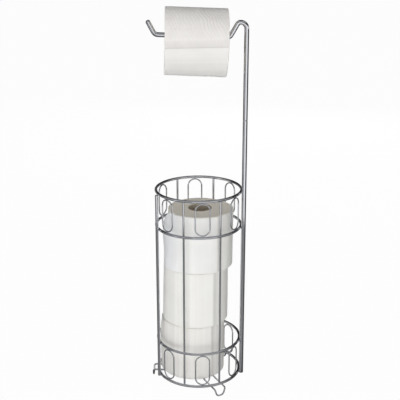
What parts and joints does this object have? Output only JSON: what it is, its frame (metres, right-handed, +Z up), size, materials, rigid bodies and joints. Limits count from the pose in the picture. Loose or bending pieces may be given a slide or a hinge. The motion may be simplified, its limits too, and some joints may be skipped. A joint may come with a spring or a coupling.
{
  "type": "toilet paper stand",
  "caption": "Free-standing wire toilet paper stand with a round basket for spare rolls and a tall pole whose hooked arm holds the roll in use.",
  "frame": {"origin": "on the floor, on the vertical axis of the round basket, which is the middle of the footprint to within a few millimetres", "axes": "+Z up along the pole; the arm runs from the pole at +X towards -X, and the front of the picture is at -Y"},
  "size_m": [0.1731, 0.1612, 0.6897],
  "materials": {
    "chrome": "polished chrome plate on steel wire",
    "zinc_steel": "plain plated steel stud",
    "tissue": "soft white embossed tissue",
    "cardboard": "plain grey-brown board"
  },
  "bodies": {
    "stand": {"top_ring": "chrome", "upper_ring": "chrome", "lower_ring": "chrome", "base_ring": "chrome", "centre_ring": "chrome", "upright_front_left": "chrome", "upright_front_right": "chrome", "upright_back_left": "chrome", "upright_back_right": "chrome", "side_post": "chrome", "top_loop_1": "chrome", "top_loop_2": "chrome", "top_loop_3": "chrome", "top_loop_4": "chrome", "top_loop_5": "chrome", "top_loop_6": "chrome", "bottom_loop_1": "chrome", "bottom_loop_2": "chrome", "bottom_loop_3": "chrome", "bottom_loop_4": "chrome", "bottom_loop_5": "chrome", "bottom_loop_6": "chrome", "front_foot": "chrome", "back_foot": "chrome", "left_foot": "chrome", "lower_pole": "chrome", "upper_pole": "chrome", "pole_stud": "zinc_steel"},
    "bottom_roll": {"bottom_roll_paper": "tissue", "bottom_roll_core": "cardboard"},
    "middle_roll": {"middle_roll_paper": "tissue", "middle_roll_core": "cardboard"},
    "top_roll": {"top_roll_paper": "tissue", "top_roll_core": "cardboard"},
    "hanging_roll": {"hanging_roll_paper": "tissue", "hanging_roll_core": "cardboard"}
  },
  "joints": [
    {"name": "bottom_roll_lift", "type": "slide", "parent": "stand", "child": "bottom_roll", "axis": [0, 0, 1], "range_m": [0, 0.038]},
    {"name": "middle_roll_lift", "type": "slide", "parent": "bottom_roll", "child": "middle_roll", "axis": [0, 0, 1], "range_m": [0, 0.038]},
    {"name": "top_roll_lift", "type": "slide", "parent": "middle_roll", "child": "top_roll", "axis": [0, 0, 1], "range_m": [0, 0.15]},
    {"name": "hanging_roll_spin", "type": "hinge", "parent": "stand", "child": "hanging_roll", "pos_m": [-0.00357, -0.0178, 0.63192], "axis": [-0.9997, 0, 0.0262], "continuous": true}
  ]
}
